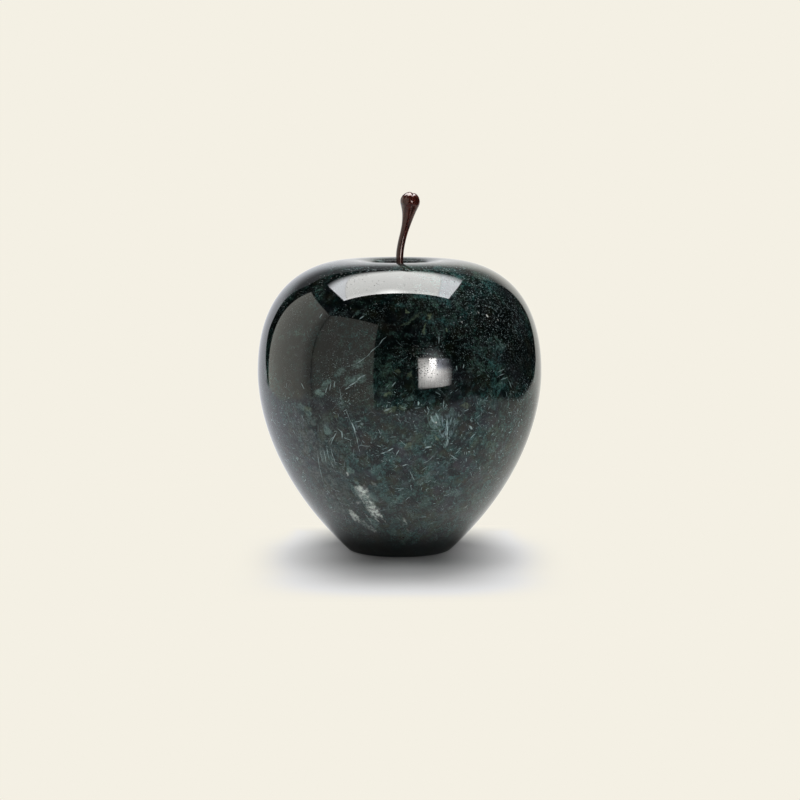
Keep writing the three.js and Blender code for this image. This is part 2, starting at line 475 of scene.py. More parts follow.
# %% Square card
def square_glow():
    """A soft streaky glow with a hot bulb, a shaded upper corner and soft edges."""
    recipe = Recipe("square_glow", "ShaderNodeEmission")
    place = recipe.metres()
    across = recipe.along(place, square_aside)
    up = recipe.along(place, (0, 0, 1))
    flat = recipe.joined(across, up)
    from_glow = recipe.move("DIVIDE", recipe.move("SUBTRACT", flat, (-0.055, 0.085, 0)), (0.19, 0.12, 1))
    level = recipe.scaled(recipe.fade(recipe.length(from_glow), 1.0, 0.0), 12.0, 8.0)
    streaks = recipe.clouds(recipe.move("MULTIPLY", flat, (90.0, 5.0, 1.0)), 1.0, 2.0)
    level = recipe.product(level, recipe.scaled(streaks, 1.10, 0.45))
    losses = ((across, -0.12, -0.22, 0.22), (across, 0.06, 0.22, 0.48), (up, 0.02, -0.075, 0.35))
    for way, start, end, loss in losses:
        level = recipe.product(level, recipe.scaled(recipe.fade(way, start, end), -loss, 1.0))
    shade = recipe.product(recipe.fade(across, 0.0, 0.04), recipe.fade(up, 0.075, 0.140))
    shade_depth = recipe.scaled(recipe.fade(across, 0.0, 0.20), 0.38, 0.42)
    level = recipe.product(level, recipe.rest_of(recipe.product(shade, shade_depth)))
    from_bulb = recipe.move("DIVIDE", recipe.move("SUBTRACT", flat, (-0.030, 0.182, 0)), (0.046, 0.072, 1))
    bulb = recipe.product(recipe.fade(recipe.length(from_bulb), 1.30, 0.55), 24.0)
    side = recipe.product(recipe.fade(across, -0.238, -0.200), recipe.fade(across, 0.240, 0.130))
    rim = recipe.product(side, recipe.fade(up, -0.088, -0.030), recipe.fade(up, 0.250, 0.195))
    recipe.set("Strength", recipe.product(recipe.sum("ADD", level, bulb), rim))
    recipe.set("Color", recipe.tint(shade, rgb(1.0, 0.975, 0.945), rgb(0.86, 0.88, 1.0)))
    return recipe


def facing(away, corners):
    """Corners across and up on an upright sheet that faces the way of the square light."""
    return [Vector((away.x, away.y, 0)) + square_aside * u + Vector((0, 0, v)) for u, v in corners]


square_rim = [(-0.215, -0.08), (0.205, -0.035), (0.235, 0.20), (-0.222, 0.24)]
card("square_sheet", facing(square_middle, square_rim), square_glow())
print("square card", round(square_distance / MM), "mm away")


# %% Halo card
def halo_glow():
    """The faint haze round the bulb."""
    recipe = Recipe("halo_glow", "ShaderNodeEmission")
    from_bulb = recipe.distance(recipe.metres(), halo_middle)
    haze = recipe.fade(from_bulb, 240 * MM, 30 * MM)
    recipe.set("Strength", recipe.product(haze, haze, 1.8))
    recipe.set("Color", rgb(0.95, 0.97, 1.0))
    return recipe


halo_away = square_middle * 1.06
halo_middle = halo_away - square_aside * 30 * MM
halo_middle.z = 210 * MM
halo_rim = [(-0.38, -0.12), (0.36, -0.12), (0.36, 0.50), (-0.38, 0.50)]
card("halo_sheet", facing(halo_away, halo_rim), halo_glow())
print("halo card has", len(halo_rim), "corners")


# %% [markdown]
# The panels and the sweep
#
# The two panels stand on the floor to the left, a little apart, and darken where they meet. The white
# sweep behind the apple is bright near the table and falls off with height, and is cool on the left and
# warm on the right like the sheet. The rims of the stone reflect its edges, so its outline is drawn
# from where the bright rims end.

# %% Panels
def upright(turn, half_width):
    """The corners of an upright panel that faces the apple from a compass turn, 0 towards the camera."""
    foot = Vector((math.sin(turn), -math.cos(turn), 0)) * panel_distance
    aside = Vector((math.cos(turn), math.sin(turn), 0)) * half_width
    low = Vector((0, 0, -400 * MM))
    high = Vector((0, 0, 800 * MM))
    return [foot - aside + low, foot + aside + low, foot + aside + high, foot - aside + high]


def panel_glow(name, turn, strength, dark_side, dark_from, drop):
    """A plain panel that darkens towards one of its upright edges."""
    recipe = Recipe(name, "ShaderNodeEmission")
    across = recipe.along(recipe.metres(), (math.cos(turn), math.sin(turn), 0))
    shaded = recipe.fade(recipe.product(across, dark_side), dark_from, 400 * MM)
    recipe.set("Strength", recipe.scaled(shaded, -drop * strength, strength))
    recipe.set("Color", rgb(1.0, 0.995, 0.90))
    return recipe


panel_distance = 800 * MM
front_turn = math.radians(-47)
back_turn = math.radians(-102)
front_glow = panel_glow("front_panel_glow", front_turn, 0.60, -1.0, 300 * MM, 0.22)
back_glow = panel_glow("back_panel_glow", back_turn, 1.06, 1.0, 200 * MM, 0.52)
card("front_panel", upright(front_turn, 400 * MM), front_glow)
card("back_panel", upright(back_turn, 420 * MM), back_glow)
print("panels", round(panel_distance / MM), "mm away")


# %% Sweep
def sweep_glow():
    """White near the table, falling to grey with height."""
    recipe = Recipe("sweep_glow", "ShaderNodeEmission")
    place = recipe.metres()
    height = recipe.along(place, (0, 0, 1))
    to_right = recipe.along(place, (1, 0, 0))
    recipe.set("Strength", recipe.scaled(recipe.fade(height, 780 * MM, 340 * MM), 0.80, 0.20))
    recipe.set("Color", recipe.tint(recipe.fade(to_right, -300 * MM, 300 * MM), cool_white, warm_white))
    return recipe


sweep_distance = 1200 * MM
sweep_rim = [
    (-870, -700), (870, -700), (870, -160), (1050, -160), (1035, -115), (880, -32), (825, 45), (745, 130),
    (690, 220), (660, 360), (620, 640), (600, 1020), (-840, 1020), (-860, 530), (-930, 315), (-920, 170),
    (-985, 72), (-1075, -28), (-1215, -128), (-1215, -160), (-870, -160),
]
card("sweep_wall", [(x * MM, sweep_distance, z * MM) for x, z in sweep_rim], sweep_glow())
print("sweep has", len(sweep_rim), "corners")

# %% [markdown]
# The apple's outline
#
# A stone apple is turned on a lathe, so one outline makes all of it: a flat foot with a small rounded
# edge, a flank that leaves the foot at a slant, the belly, a shoulder that rolls over to the crest, the
# dimple with the lip that its grinding tool leaves, and the drilled hole for the stalk. Each stretch is
# one curve that holds its direction at its ends. The steps are fine, because polish shows every facet.

# %% Sizes and curves
belly_radius = apple_high.x
crest_height = apple_high.z
belly_height = 50.9 * MM
foot_radius = 13.4 * MM
foot_edge = 2.1 * MM
flank_angle = math.radians(43.2)
crest_radius = 13.1 * MM
lip_radius = 8.4 * MM
lip_drop = 0.76 * MM
lip_angle = math.radians(17.5)
lip_round = 0.15 * MM
dimple_slope = math.radians(60)
dimple_floor = crest_height - 9.1 * MM
dimple_floor_radius = 3.5 * MM
hollow_rise = 2.2 * MM
socket_radius = 2.5 * MM
socket_bottom = dimple_floor - 13.0 * MM
drill_slope = 1 / math.tan(math.radians(59))
flank_hold_at_foot = 0.45
flank_hold_at_belly = 0.27
shoulder_hold_at_belly = 0.79
shoulder_hold_at_crest = 0.445
hollow_hold = 0.6
fine_step = 0.7 * MM
arc_steps = 8


def bezier(start, pull_start, pull_end, end, step):
    """Points along a cubic curve in even steps, without its first point."""
    count = max(4, round((end - start).length / step))
    points = []
    for number in range(1, count + 1):
        t = number / count
        s = 1 - t
        points.append(
            start * s ** 3 + pull_start * (3 * s * s * t) + pull_end * (3 * s * t * t) + end * t ** 3
        )
    return points


def line(start, end, step):
    """Points along a straight run, without its first point."""
    count = max(1, round((end - start).length / step))
    return [start.lerp(end, number / count) for number in range(1, count + 1)]


def slant(angle, reach):
    """A step of a given reach in the direction of an angle."""
    return Vector((math.cos(angle), math.sin(angle))) * reach


def arc(centre, radius, start_angle, end_angle, count):
    """Points along part of a circle, without its first point."""
    turn = (end_angle - start_angle) / count
    return [centre + slant(start_angle + turn * number, radius) for number in range(1, count + 1)]


print("belly", round(belly_radius / MM, 1), "mm in radius, crest", round(crest_height / MM, 1), "mm up")

# %% Draw the outline
def apple_outline():
    """Radius and height all the way round the stone, from the foot's centre to the socket's."""
    foot_centre = Vector((foot_radius, foot_edge))
    foot_arc = arc(foot_centre, foot_edge, -math.pi / 2, -math.pi / 2 + flank_angle, arc_steps)
    flank_start = foot_arc[-1]
    belly = Vector((belly_radius, belly_height))
    crest = Vector((crest_radius, crest_height))
    rise = crest_height - belly_height
    lip = Vector((lip_radius, crest_height - lip_drop))
    lip_centre = lip - slant(lip_angle + math.pi / 2, lip_round)
    floor_edge = Vector((dimple_floor_radius, dimple_floor))
    points = [Vector((0, 0))]
    points += line(points[-1], Vector((foot_radius, 0)), fine_step)
    points += foot_arc
    points += bezier(
        flank_start, flank_start + slant(flank_angle, flank_hold_at_foot * (belly - flank_start).length),
        belly - Vector((0, flank_hold_at_belly * (belly_height - flank_start.y))), belly, fine_step,
    )
    points += bezier(
        belly, belly + Vector((0, shoulder_hold_at_belly * rise)),
        crest + Vector((shoulder_hold_at_crest * (belly_radius - crest_radius), 0)), crest, fine_step,
    )
    third = (crest_radius - lip_radius) / 3
    points += bezier(crest, crest - Vector((third, 0)), lip + slant(lip_angle, third), lip, fine_step / 3)
    points += arc(lip_centre, lip_round, lip_angle + math.pi / 2, dimple_slope + math.pi / 2, arc_steps)
    wall_drop = points[-1].y - dimple_floor - hollow_rise
    wall_end = points[-1] - slant(dimple_slope, wall_drop / math.sin(dimple_slope))
    points += line(points[-1], wall_end, fine_step / 2)
    points += bezier(
        wall_end, wall_end - slant(dimple_slope, hollow_hold * hollow_rise),
        floor_edge + Vector((hollow_hold * (wall_end.x - floor_edge.x), 0)), floor_edge, fine_step / 3,
    )
    points += line(points[-1], Vector((socket_radius, dimple_floor)), fine_step / 2)
    points += line(points[-1], Vector((socket_radius, socket_bottom)), fine_step * 2)
    points.append(Vector((0, socket_bottom - socket_radius * drill_slope)))
    return points


outline = apple_outline()
print("outline points:", len(outline), "widest", round(max(p.x for p in outline) / MM, 2), "mm")

# %% [markdown]
# Turning the outline into a solid
#
# A lathe is a loop: the same outline is placed at many angles round the axis, and neighbouring copies
# are joined by four-sided faces. Where the outline meets the axis the faces close to a fan. Smooth
# shading then blends the facets, and with faces this small the reflections run true.

# %% Turn the stone
def turned(name, outline_points, sides):
    """A closed smooth solid turned about Z from an outline that starts and ends on the axis."""
    rings = outline_points[1:-1]
    verts = [(0.0, 0.0, outline_points[0].y)]
    for point in rings:
        for side in range(sides):
            turn = 2 * math.pi * side / sides
            verts.append((point.x * math.cos(turn), point.x * math.sin(turn), point.y))
    verts.append((0.0, 0.0, outline_points[-1].y))
    faces = []
    for side in range(sides):
        ahead = (side + 1) % sides
        faces.append((0, 1 + ahead, 1 + side))
        for ring in range(len(rings) - 1):
            low = 1 + ring * sides
            faces.append((low + side, low + ahead, low + sides + ahead, low + sides + side))
        top = 1 + (len(rings) - 1) * sides
        faces.append((top + side, top + ahead, len(verts) - 1))
    mesh = bpy.data.meshes.new(name)
    mesh.from_pydata(verts, [], faces)
    mesh.shade_smooth()
    made = bpy.data.objects.new(name, mesh)
    bpy.context.scene.collection.objects.link(made)
    return made


apple_sides = 240
stone = turned("polished_stone", outline, apple_sides)
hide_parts("marble_apple")
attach(stone, "root")
print("stone faces:", len(stone.data.polygons))

# %% [markdown]
# What lies inside the marble
#
# The stone is nearly black with a green cast. In it float soft teal clouds, patches of olive, brown and
# slate, a salt of fine grains, short hair-like crystals, a few cracks and one cluster of white calcite
# low on the front. The recipe lays them over each other from dark to pale, the way a painter glazes.
# Each layer is first pushed about by soft noise, so that nothing repeats and no edge is straight.

# %% Clouds in the stone
marble = Recipe("polished_marble")
place = marble.millimetres()
height = marble.along(place, (0, 0, 1))
lower = marble.fade(height, 62.0, 26.0)


def elsewhere(*shift):
    """The same point seen from another spot, so that one kind of noise gives many patterns."""
    return marble.move("ADD", place, shift)


black_green = rgb(0.0010, 0.0024, 0.0023)
blue_teal = rgb(0.030, 0.092, 0.088)
deep_teal = rgb(0.0022, 0.0080, 0.0080)
moss_teal = rgb(0.048, 0.100, 0.078)
bright_teal = rgb(0.072, 0.172, 0.158)
mist = rgb(0.150, 0.225, 0.218)

broad = marble.clouds(marble.drift(place, 9.0, 6.0), 12.0, 3.0, 0.55)
mottle = marble.clouds(marble.drift(place, 2.6, 1.8), 2.3, 6.0, 0.66)
cloud_field = marble.sum("ADD", marble.scaled(broad, 0.70, -0.10), marble.scaled(mottle, 0.55))
cloud_field = marble.sum("ADD", cloud_field, marble.scaled(lower, 0.09))
salty = marble.fade(marble.distance(place, (24.0, -24.0, 71.0)), 24.0, 8.0)
cloud_field = marble.sum("ADD", cloud_field, marble.scaled(salty, 0.02))
dark_side = marble.fade(marble.distance(place, (28.0, -26.0, 58.0)), 16.0, 6.0)
cloud_field = marble.sum("SUBTRACT", cloud_field, marble.scaled(dark_side, 0.05))
grit = marble.fade(marble.clouds(marble.drift(place, 1.1, 1.0), 0.55, 3.0, 0.75), 0.40, 0.62)
cloud_amount = marble.product(marble.fade(cloud_field, 0.47, 0.73), marble.scaled(grit, 1.22, 0.12))
cloud_hue = marble.fade(marble.clouds(elsewhere(31, 7, 12), 6.0, 3.0), 0.42, 0.60)
deep = marble.tint(lower, black_green, deep_teal)
marble.colour = marble.tint(cloud_amount, deep, marble.tint(cloud_hue, blue_teal, moss_teal))
print("clouds take", len(marble.tree.nodes), "nodes")

# %% Wisps, blotches and dark gaps
wisps = marble.clouds(marble.drift(elsewhere(5, 50, 9), 3.0, 3.2), 1.7, 5.0, 0.60)
wisp_patch = marble.fade(marble.clouds(elsewhere(90, 4, 33), 7.5, 2.0), 0.44, 0.64)
wisp_amount = marble.product(marble.fade(wisps, 0.50, 0.70), wisp_patch, marble.scaled(lower, 0.70, 0.22))
wisp_amount = marble.product(wisp_amount, marble.scaled(grit, 1.10, 0.20))
marble.lay(wisp_amount, mist)

blotches = marble.clouds(marble.drift(elsewhere(61, 8, 2), 2.6, 2.6), 3.4, 6.0, 0.66)
blotch_amount = marble.product(marble.fade(blotches, 0.48, 0.62), lower, marble.scaled(grit, 0.75, 0.20))
marble.lay(blotch_amount, bright_teal)
glaze = marble.clouds(elsewhere(44, 12, 90), 2.8, 4.0, 0.60)
glaze_amount = marble.product(marble.fade(glaze, 0.47, 0.68), lower, 0.62)
marble.lay(glaze_amount, rgb(0.036, 0.066, 0.060))
foot_belt = marble.product(marble.fade(height, 27.0, 17.0), marble.fade(height, 4.0, 9.0))
moss = marble.clouds(marble.drift(elsewhere(7, 21, 55), 4.0, 3.0), 3.4, 4.0, 0.62)
moss_amount = marble.product(marble.fade(moss, 0.46, 0.64), foot_belt, marble.scaled(grit, 0.55, 0.45))
marble.lay(moss_amount, rgb(0.062, 0.118, 0.098))
gaps = marble.clouds(marble.drift(elsewhere(-8, 33, 71), 2.0, 2.0), 2.4, 5.0, 0.66)
marble.lay(marble.product(marble.fade(gaps, 0.48, 0.60), 0.86), deep)
print("with wisps and blotches", len(marble.tree.nodes), "nodes")

# %% [markdown]
# Patches of other hues
#
# A green marble is never only green. Soft patches of olive, brown and slate, a centimetre or less
# across, lie in it like thin veils. They are what keeps the dark lower half from looking like paint.

# %% Olive, brown and slate veils
def veil(colour, shift, size, strength):
    """Lays on a soft patchy veil of one hue, in its own places."""
    spots = marble.clouds(elsewhere(*shift), size, 4.0, 0.6)
    mostly_low = marble.scaled(lower, 0.82, 0.18)
    marble.lay(marble.product(marble.fade(spots, 0.49, 0.66), mostly_low, strength), colour)


olive = rgb(0.046, 0.050, 0.020)
brown = rgb(0.056, 0.040, 0.031)
slate = rgb(0.054, 0.054, 0.070)
veil(olive, (12, -40, 3), 4.2, 0.50)
veil(brown, (-60, 15, 8), 4.6, 0.42)
veil(slate, (25, 70, -30), 6.0, 0.50)
print("with three veils", len(marble.tree.nodes), "nodes")

# %% [markdown]
# Crystals
#
# Short pale crystals lie in the polished skin in every direction, with neighbours often leaning alike.
# Scattered points give the places. At each one a random direction is laid flat into the skin, and the
# stone is coloured where it is near to the short line that runs that way. The same function makes the
# hair-fine needles and, with a tiny length, the salt of grains.

# %% Scattered crystals
skin = marble.make("ShaderNodeTexCoord", {}).outputs["Normal"]
growth_noise = marble.make("ShaderNodeTexNoise", {"Vector": place, "Scale": 1 / 9.0, "Detail": 1.0})
growth = marble.stretch(marble.move("SUBTRACT", growth_noise.outputs["Color"], (0.5, 0.5, 0.5)), 2.2)


def in_skin(direction):
    """The part of a direction that lies flat in the stone's skin."""
    return marble.move("SUBTRACT", direction, marble.stretch(skin, marble.along(direction, skin)))


def crystals(shift, spacing, share, half_length, half_width):
    """Scattered short lines, as an amount from 0 to 1; the share says how many points have one."""
    around = marble.drift(elsewhere(*shift), 2.5, 0.8)
    middle, lot = marble.nearest(around, spacing)
    chance = marble.make("ShaderNodeTexWhiteNoise", {"Vector": lot}).outputs["Color"]
    random_way = marble.move("ADD", marble.move("SUBTRACT", lot, (0.5, 0.5, 0.5)), growth)
    way = marble.move("NORMALIZE", in_skin(random_way))
    offset = in_skin(marble.move("SUBTRACT", around, middle))
    slide = marble.along(offset, way)
    aside = marble.distance(offset, marble.stretch(way, slide))
    reach = marble.scaled(marble.along(chance, (1, 0, 0)), half_length, 0.35 * half_length)
    ends = marble.fade(marble.sum("DIVIDE", marble.sum("ABSOLUTE", slide), reach), 1.0, 0.5)
    luck = marble.along(chance, (0, 1, 0))
    glow = marble.scaled(marble.product(luck, luck), 0.85, 0.15)
    picked = marble.fade(marble.along(chance, (0, 0, 1)), 1.0 - share, 1.02 - share)
    return marble.product(marble.fade(aside, half_width, half_width * 0.3), ends, glow, picked)


print("crystals grow along a noise of 9 mm")

# %% Needles
crystal_patch = marble.fade(marble.clouds(elsewhere(3, 3, 60), 8.0, 2.0), 0.40, 0.62)
crystal_belt = marble.product(marble.fade(height, 58.0, 42.0), marble.fade(height, 6.0, 16.0))
crystal_belt = marble.scaled(crystal_belt, 0.82, 0.18)
crystal_density = marble.product(marble.scaled(crystal_patch, 0.75, 0.30), crystal_belt)
needle_amount = marble.strongest(
    crystals((0, 0, 0), 5.2, 0.40, 1.90, 0.13),
    crystals((17, 5, 9), 2.7, 0.60, 0.90, 0.12),
    crystals((4, 41, 2), 1.5, 0.70, 0.45, 0.11),
)
needle_amount = marble.product(needle_amount, crystal_density)
marble.lay(needle_amount, rgb(0.42, 0.59, 0.59))
print("with needles", len(marble.tree.nodes), "nodes")

# %% Salt
map_radius = 38.0
sides = marble.parts(place)
round_belly = marble.sum("ARCTAN2", sides["X"], marble.product(sides["Y"], -1.0))
round_belly = marble.product(round_belly, map_radius)
crest_band = marble.fade(height, 80.2, 80.8)
below_softbox = marble.fade(height, 76.6, 75.4)
off_softbox = marble.strongest(below_softbox, marble.fade(round_belly, 24.0, 27.0), crest_band)
left_band = marble.product(marble.fade(marble.distance(place, (-15.0, -35.5, 52.5)), 12.0, 5.0), 0.85)
salt_patch = marble.strongest(salty, marble.product(crystal_patch, 0.55), crest_band, left_band)
salt_amount = marble.strongest(
    crystals((8, 2, 77), 0.95, 0.60, 0.10, 0.15),
    crystals((66, 20, 7), 0.62, 0.50, 0.08, 0.11),
)
salt_amount = marble.product(salt_amount, salt_patch, off_softbox)
marble.lay(marble.product(salt_amount, 0.90), rgb(0.42, 0.54, 0.54))
# Painted sparkle: round the square light's highlight the coarse pale grains are laid thicker, on top of the
# stone's own coarse salt.
square_glint_patch = marble.product(marble.fade(marble.distance(place, (8.5, -38.6, 59.0)), 9.0, 4.0), 0.70)
grain_and_glint_patch = marble.strongest(crest_band, square_glint_patch, marble.product(salty, off_softbox, 0.55))
coarse_grains_and_glints = marble.product(crystals((13, 44, 5), 1.00, 0.55, 0.28, 0.20), grain_and_glint_patch)
marble.lay(coarse_grains_and_glints, rgb(0.30, 0.38, 0.38))
print("with salt", len(marble.tree.nodes), "nodes")

# %% [markdown]
# Marks of this one stone
#
# No two apples share the same marks, and those of this one are what the eye finds first: a pair of long
# parallel lines left of the middle, a fan of crystals right of it, short bright dashes, and soft
# patches. Their places are read off the photograph, on a flat map of the skin: millimetres round
# the belly to the right of the middle, and millimetres up from the foot. Each mark is a thin lens there.

# %% Lenses on a flat map
flat_map = marble.joined(round_belly, height)
wavy_map = marble.drift(flat_map, 2.2, 0.7)
torn_map = marble.drift(marble.drift(flat_map, 2.4, 2.6), 0.8, 1.2)
lens_core = 0.12


def threefold(number):
    """One number as all three parts of a vector."""
    return marble.joined(number, number, number)


def weighed(numbers, weights, start):
    """Three weighted numbers, each added to its own start."""
    inputs = {0: numbers, 1: weights, 2: start}
    return marble.make("ShaderNodeVectorMath", inputs, operation="MULTIPLY_ADD").outputs[0]


def lenses(on_map, marks):
    """The strongest of many thin lenses on the map: 0 outside them, their own strength in the middle.

    They are worked out three at a time, one in each part of a vector. A place is inside a lens when
    its distances along and across the lens, each as a share of the half size, make less than 1.
    """
    axes = marble.parts(on_map)
    right = threefold(axes["X"])
    up = threefold(axes["Y"])
    strongest = (0.0, 0.0, 0.0)
    for first in range(0, len(marks), 3):
        trio = (marks[first:first + 3] * 3)[:3]
        shares = []
        for quarter, size in ((0, 2), (90, 3)):
            turns = [math.radians(mark[4] + quarter) for mark in trio]
            x_steps = [math.cos(turn) / mark[size] for turn, mark in zip(turns, trio)]
            y_steps = [math.sin(turn) / mark[size] for turn, mark in zip(turns, trio)]
            start = [-x * mark[0] - y * mark[1] for x, y, mark in zip(x_steps, y_steps, trio)]
            shares.append(weighed(up, y_steps, weighed(right, x_steps, start)))
        reach = weighed(shares[1], shares[1], marble.move("MULTIPLY", shares[0], shares[0]))
        strengths = [mark[5] for mark in trio]
        inputs = {"Vector": reach, 7: (1.0, 1.0, 1.0), 8: (lens_core,) * 3, 10: strengths}
        settings = {"data_type": "FLOAT_VECTOR", "interpolation_type": "SMOOTHSTEP"}
        amount = marble.make("ShaderNodeMapRange", inputs, **settings).outputs["Vector"]
        strongest = marble.move("MAXIMUM", amount, strongest)
    three = marble.parts(strongest)
    return marble.strongest(three["X"], three["Y"], three["Z"])


print("flat map of", round(2 * math.pi * map_radius), "mm round the belly")

# %% Bright marks
# Each mark: its place round the belly and up, half its length, half its width, its lean, its strength.
bright_marks = [
    (-13.6, 42.7, 2.7, 0.14, -69, 0.45), (-12.4, 39.4, 1.9, 0.2, -74, 1.0),
    (-11.8, 36.5, 2.0, 0.14, -83, 0.6), (-11.4, 33.8, 1.4, 0.12, -82, 0.4),
    (-18.8, 36.2, 2.6, 0.16, 56, 0.75), (-19.6, 35.9, 1.3, 0.12, 39, 0.45),
    (-16.0, 37.5, 1.3, 0.22, 83, 0.95), (-28.2, 41.1, 1.1, 0.18, -75, 0.6),
    (-26.2, 27.2, 5.6, 0.15, 80, 0.6), (-22.9, 31.0, 2.6, 0.15, 87, 0.8),
    (-21.6, 31.6, 2.2, 0.14, -88, 0.7), (-24.3, 30.4, 2.0, 0.13, 84, 0.6),
    (-20.0, 31.0, 3.1, 0.15, -84, 0.75), (-21.0, 28.4, 1.4, 0.14, -80, 0.55),
    (-4.5, 32.7, 1.3, 0.15, 20, 0.65), (-2.7, 33.6, 1.3, 0.18, 31, 0.9), (-0.6, 32.8, 1.1, 0.16, 59, 0.75),
    (1.6, 29.1, 1.1, 0.17, 14, 0.9), (7.9, 34.2, 1.2, 0.3, 8, 0.85), (16.1, 30.9, 1.9, 0.17, -27, 0.7),
    (12.9, 39.4, 3.6, 0.17, -86, 1.0), (11.4, 46.1, 1.4, 0.15, -88, 0.55), (13.3, 35.3, 1.2, 0.3, -88, 1.0),
    (8.6, 42.0, 1.6, 0.3, -62, 0.75), (9.8, 42.8, 1.3, 0.24, -70, 0.65), (19.8, 39.3, 1.1, 0.34, -47, 0.75),
    (-3.1, 44.7, 1.3, 0.34, 17, 0.55), (4.8, 46.5, 0.7, 0.24, -89, 0.95), (7.4, 45.1, 0.9, 0.18, -69, 0.6),
    (7.4, 44.0, 0.9, 0.16, 66, 0.55), (15.9, 43.0, 1.0, 0.14, -85, 0.5), (15.0, 55.8, 0.7, 0.22, -83, 0.85),
    (16.9, 56.1, 0.8, 0.16, 80, 0.6), (10.6, 63.4, 1.3, 0.13, 88, 0.5), (28.9, 54.2, 1.5, 0.15, 16, 0.55),
    (28.9, 52.9, 1.9, 0.14, 16, 0.5), (30.0, 51.9, 1.8, 0.14, 10, 0.45), (-9.9, 58.0, 2.0, 0.12, 35, 0.45),
    (-7.2, 60.4, 2.6, 0.13, 46, 0.6), (-4.7, 63.2, 2.0, 0.12, 49, 0.5), (-24.0, 69.3, 0.9, 0.2, 67, 0.7),
    (-10.9, 69.2, 0.9, 0.22, 34, 0.6), (-9.8, 53.5, 1.6, 0.2, 26, 0.5), (-15.6, 48.8, 1.8, 0.14, -83, 0.45),
    (-27.3, 50.1, 1.2, 0.2, -57, 0.75), (-1.6, 51.7, 0.9, 0.18, 55, 0.6), (7.4, 29.9, 1.2, 0.12, 17, 0.5),
    (8.9, 30.9, 1.2, 0.12, 46, 0.5), (-1.8, 37.3, 1.0, 0.12, 10, 0.45), (0.9, 35.5, 1.7, 0.12, -38, 0.45),
    (-35.4, 28.9, 1.0, 0.22, 82, 0.5), (-18.4, 50.6, 1.3, 0.16, 80, 0.8), (-17.2, 51.2, 1.2, 0.15, 85, 0.7),
    (-19.6, 49.6, 1.0, 0.16, 70, 0.8), (-12.2, 51.6, 1.8, 0.16, 35, 0.85),
    (-10.2, 53.2, 1.2, 0.18, 40, 0.8), (-13.6, 50.2, 0.9, 0.2, 30, 0.7),
]
broken = marble.fade(marble.clouds(place, 0.7, 2.0), 0.34, 0.52)
bright_amount = marble.product(lenses(wavy_map, bright_marks), marble.scaled(broken, 0.55, 0.45))
print(len(bright_marks), "bright marks")

# %% Soft patches
teal_patches = [
    (29.5, 60.5, 3.6, 1.0, 22, 0.45), (3.5, 69.0, 4.2, 1.0, 34, 0.16), (9.0, 69.0, 1.6, 0.6, 60, 0.35),
    (7.0, 65.5, 1.9, 0.6, 70, 0.28), (-12.6, 70.0, 1.3, 0.8, 20, 0.45), (-12.5, 52.5, 3.2, 1.6, 20, 0.7),
    (-21.0, 49.8, 2.4, 0.9, 15, 0.55), (-22.4, 48.2, 1.1, 0.8, 0, 1.0), (-20.5, 38.3, 1.7, 1.0, -60, 1.0),
    (9.3, 42.1, 2.1, 1.3, 55, 1.0), (14.8, 41.0, 1.6, 1.0, 80, 0.5), (8.0, 25.0, 5.2, 1.1, 35, 0.55),
    (-1.5, 18.5, 4.8, 1.1, 32, 0.55), (19.0, 20.5, 5.0, 1.3, -10, 0.6), (4.5, 14.5, 3.0, 1.1, -30, 0.6),
    (-15.5, 46.0, 2.6, 1.2, 80, 0.4), (22.6, 45.8, 2.0, 0.9, 5, 0.5), (26.5, 38.0, 1.0, 0.6, 40, 0.5),
    (-14.5, 26.6, 0.6, 0.9, 0, 0.8), (-6.4, 25.3, 0.9, 0.7, 0, 0.6), (34.0, 31.0, 0.8, 0.7, 0, 0.6),
    (-21.8, 30.6, 3.4, 1.9, 88, 0.6), (-12.0, 18.0, 5.2, 3.4, -45, 0.55), (-31.0, 34.6, 1.2, 0.9, 0, 0.6),
    (-15.0, 10.6, 4.0, 1.5, -25, 0.6), (2.8, 48.0, 1.6, 1.0, 20, 0.6), (1.2, 46.0, 1.0, 0.7, 0, 0.55),
    (9.6, 41.6, 2.6, 1.5, 55, 0.7), (14.0, 43.6, 2.4, 1.0, 80, 0.45), (13.2, 35.2, 1.5, 0.7, 85, 0.8),
    (-22.0, 48.6, 2.0, 1.4, 10, 1.0), (-19.5, 51.4, 2.0, 1.2, 35, 0.7), (-15.7, 54.4, 2.4, 1.5, 38, 0.58),
    (-11.0, 56.8, 2.6, 1.5, 25, 0.6), (-10.2, 52.8, 2.8, 1.3, 35, 0.62), (-20.4, 38.6, 1.9, 1.5, -60, 1.0),
    (-15.4, 27.0, 1.6, 1.1, -60, 0.95), (-13.4, 23.6, 1.4, 0.9, -50, 0.9),
    (-28.0, 44.2, 2.4, 1.3, -20, 0.7), (-26.0, 42.6, 1.6, 1.2, 0, 0.8), (-23.6, 30.8, 3.6, 1.6, 85, 0.6),
    (-7.4, 27.6, 2.6, 1.2, 20, 0.55), (-15.6, 21.4, 2.0, 1.4, -50, 0.75), (-8.6, 19.4, 2.6, 1.4, -50, 0.75),
    (-11.6, 11.8, 3.4, 1.8, -20, 0.9),
]
